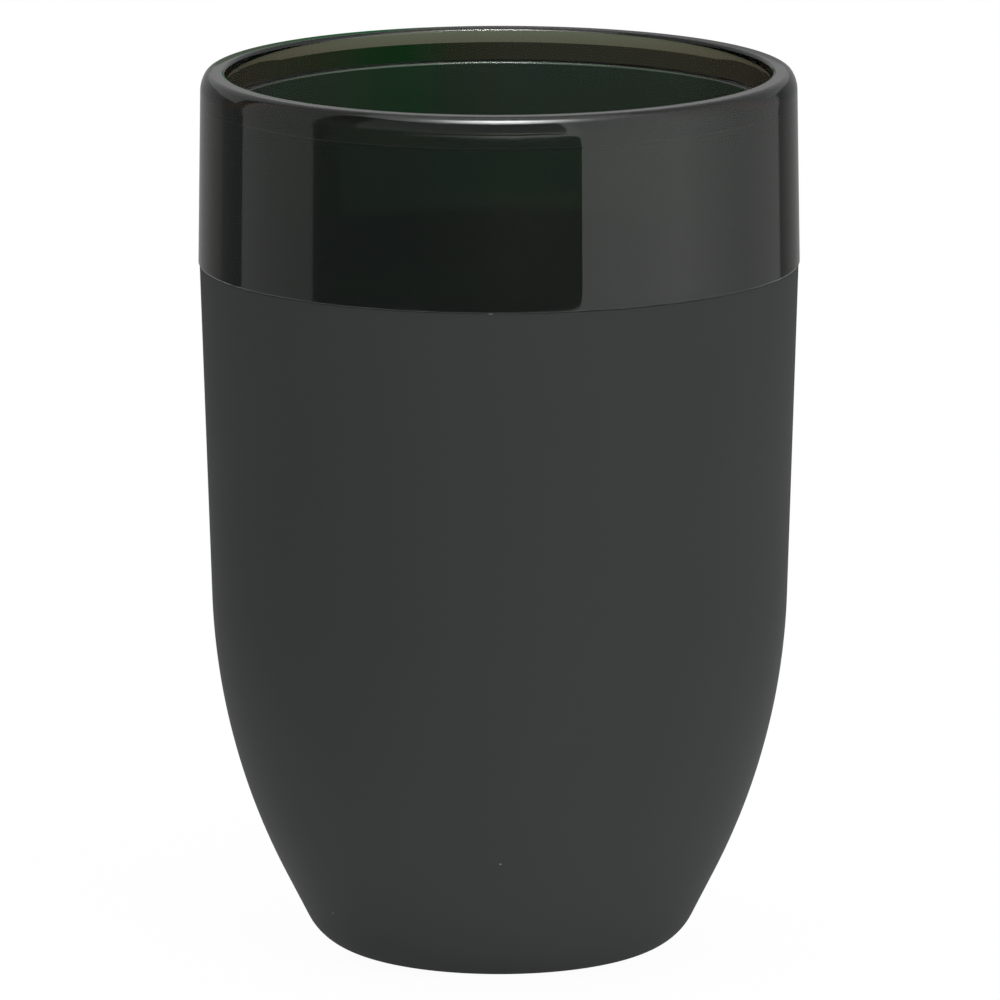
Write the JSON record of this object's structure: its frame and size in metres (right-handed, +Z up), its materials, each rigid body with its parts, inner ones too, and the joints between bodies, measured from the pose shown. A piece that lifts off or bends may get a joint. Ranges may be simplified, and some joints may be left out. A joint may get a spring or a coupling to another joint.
{
  "type": "bathroom tumbler",
  "caption": "Round double-walled tumbler with a bowl-shaped matte body, a narrow base and a glossy see-through collar at the mouth.",
  "frame": {"origin": "on the cup's axis, in the plane that the foot ring stands on", "axes": "+Z up along the cup's axis, towards the mouth; X and Y are free, because the cup is round"},
  "size_m": [0.077, 0.077, 0.1144],
  "materials": {
    "clear_green": "gloss, see-through dark green",
    "soft_charcoal": "matte soft-touch",
    "foot_rubber": "matte"
  },
  "bodies": {
    "root": {"rim_collar": "clear_green", "inner_liner": "clear_green", "outer_sleeve": "soft_charcoal", "foot_ring": "foot_rubber"}
  },
  "joints": []
}
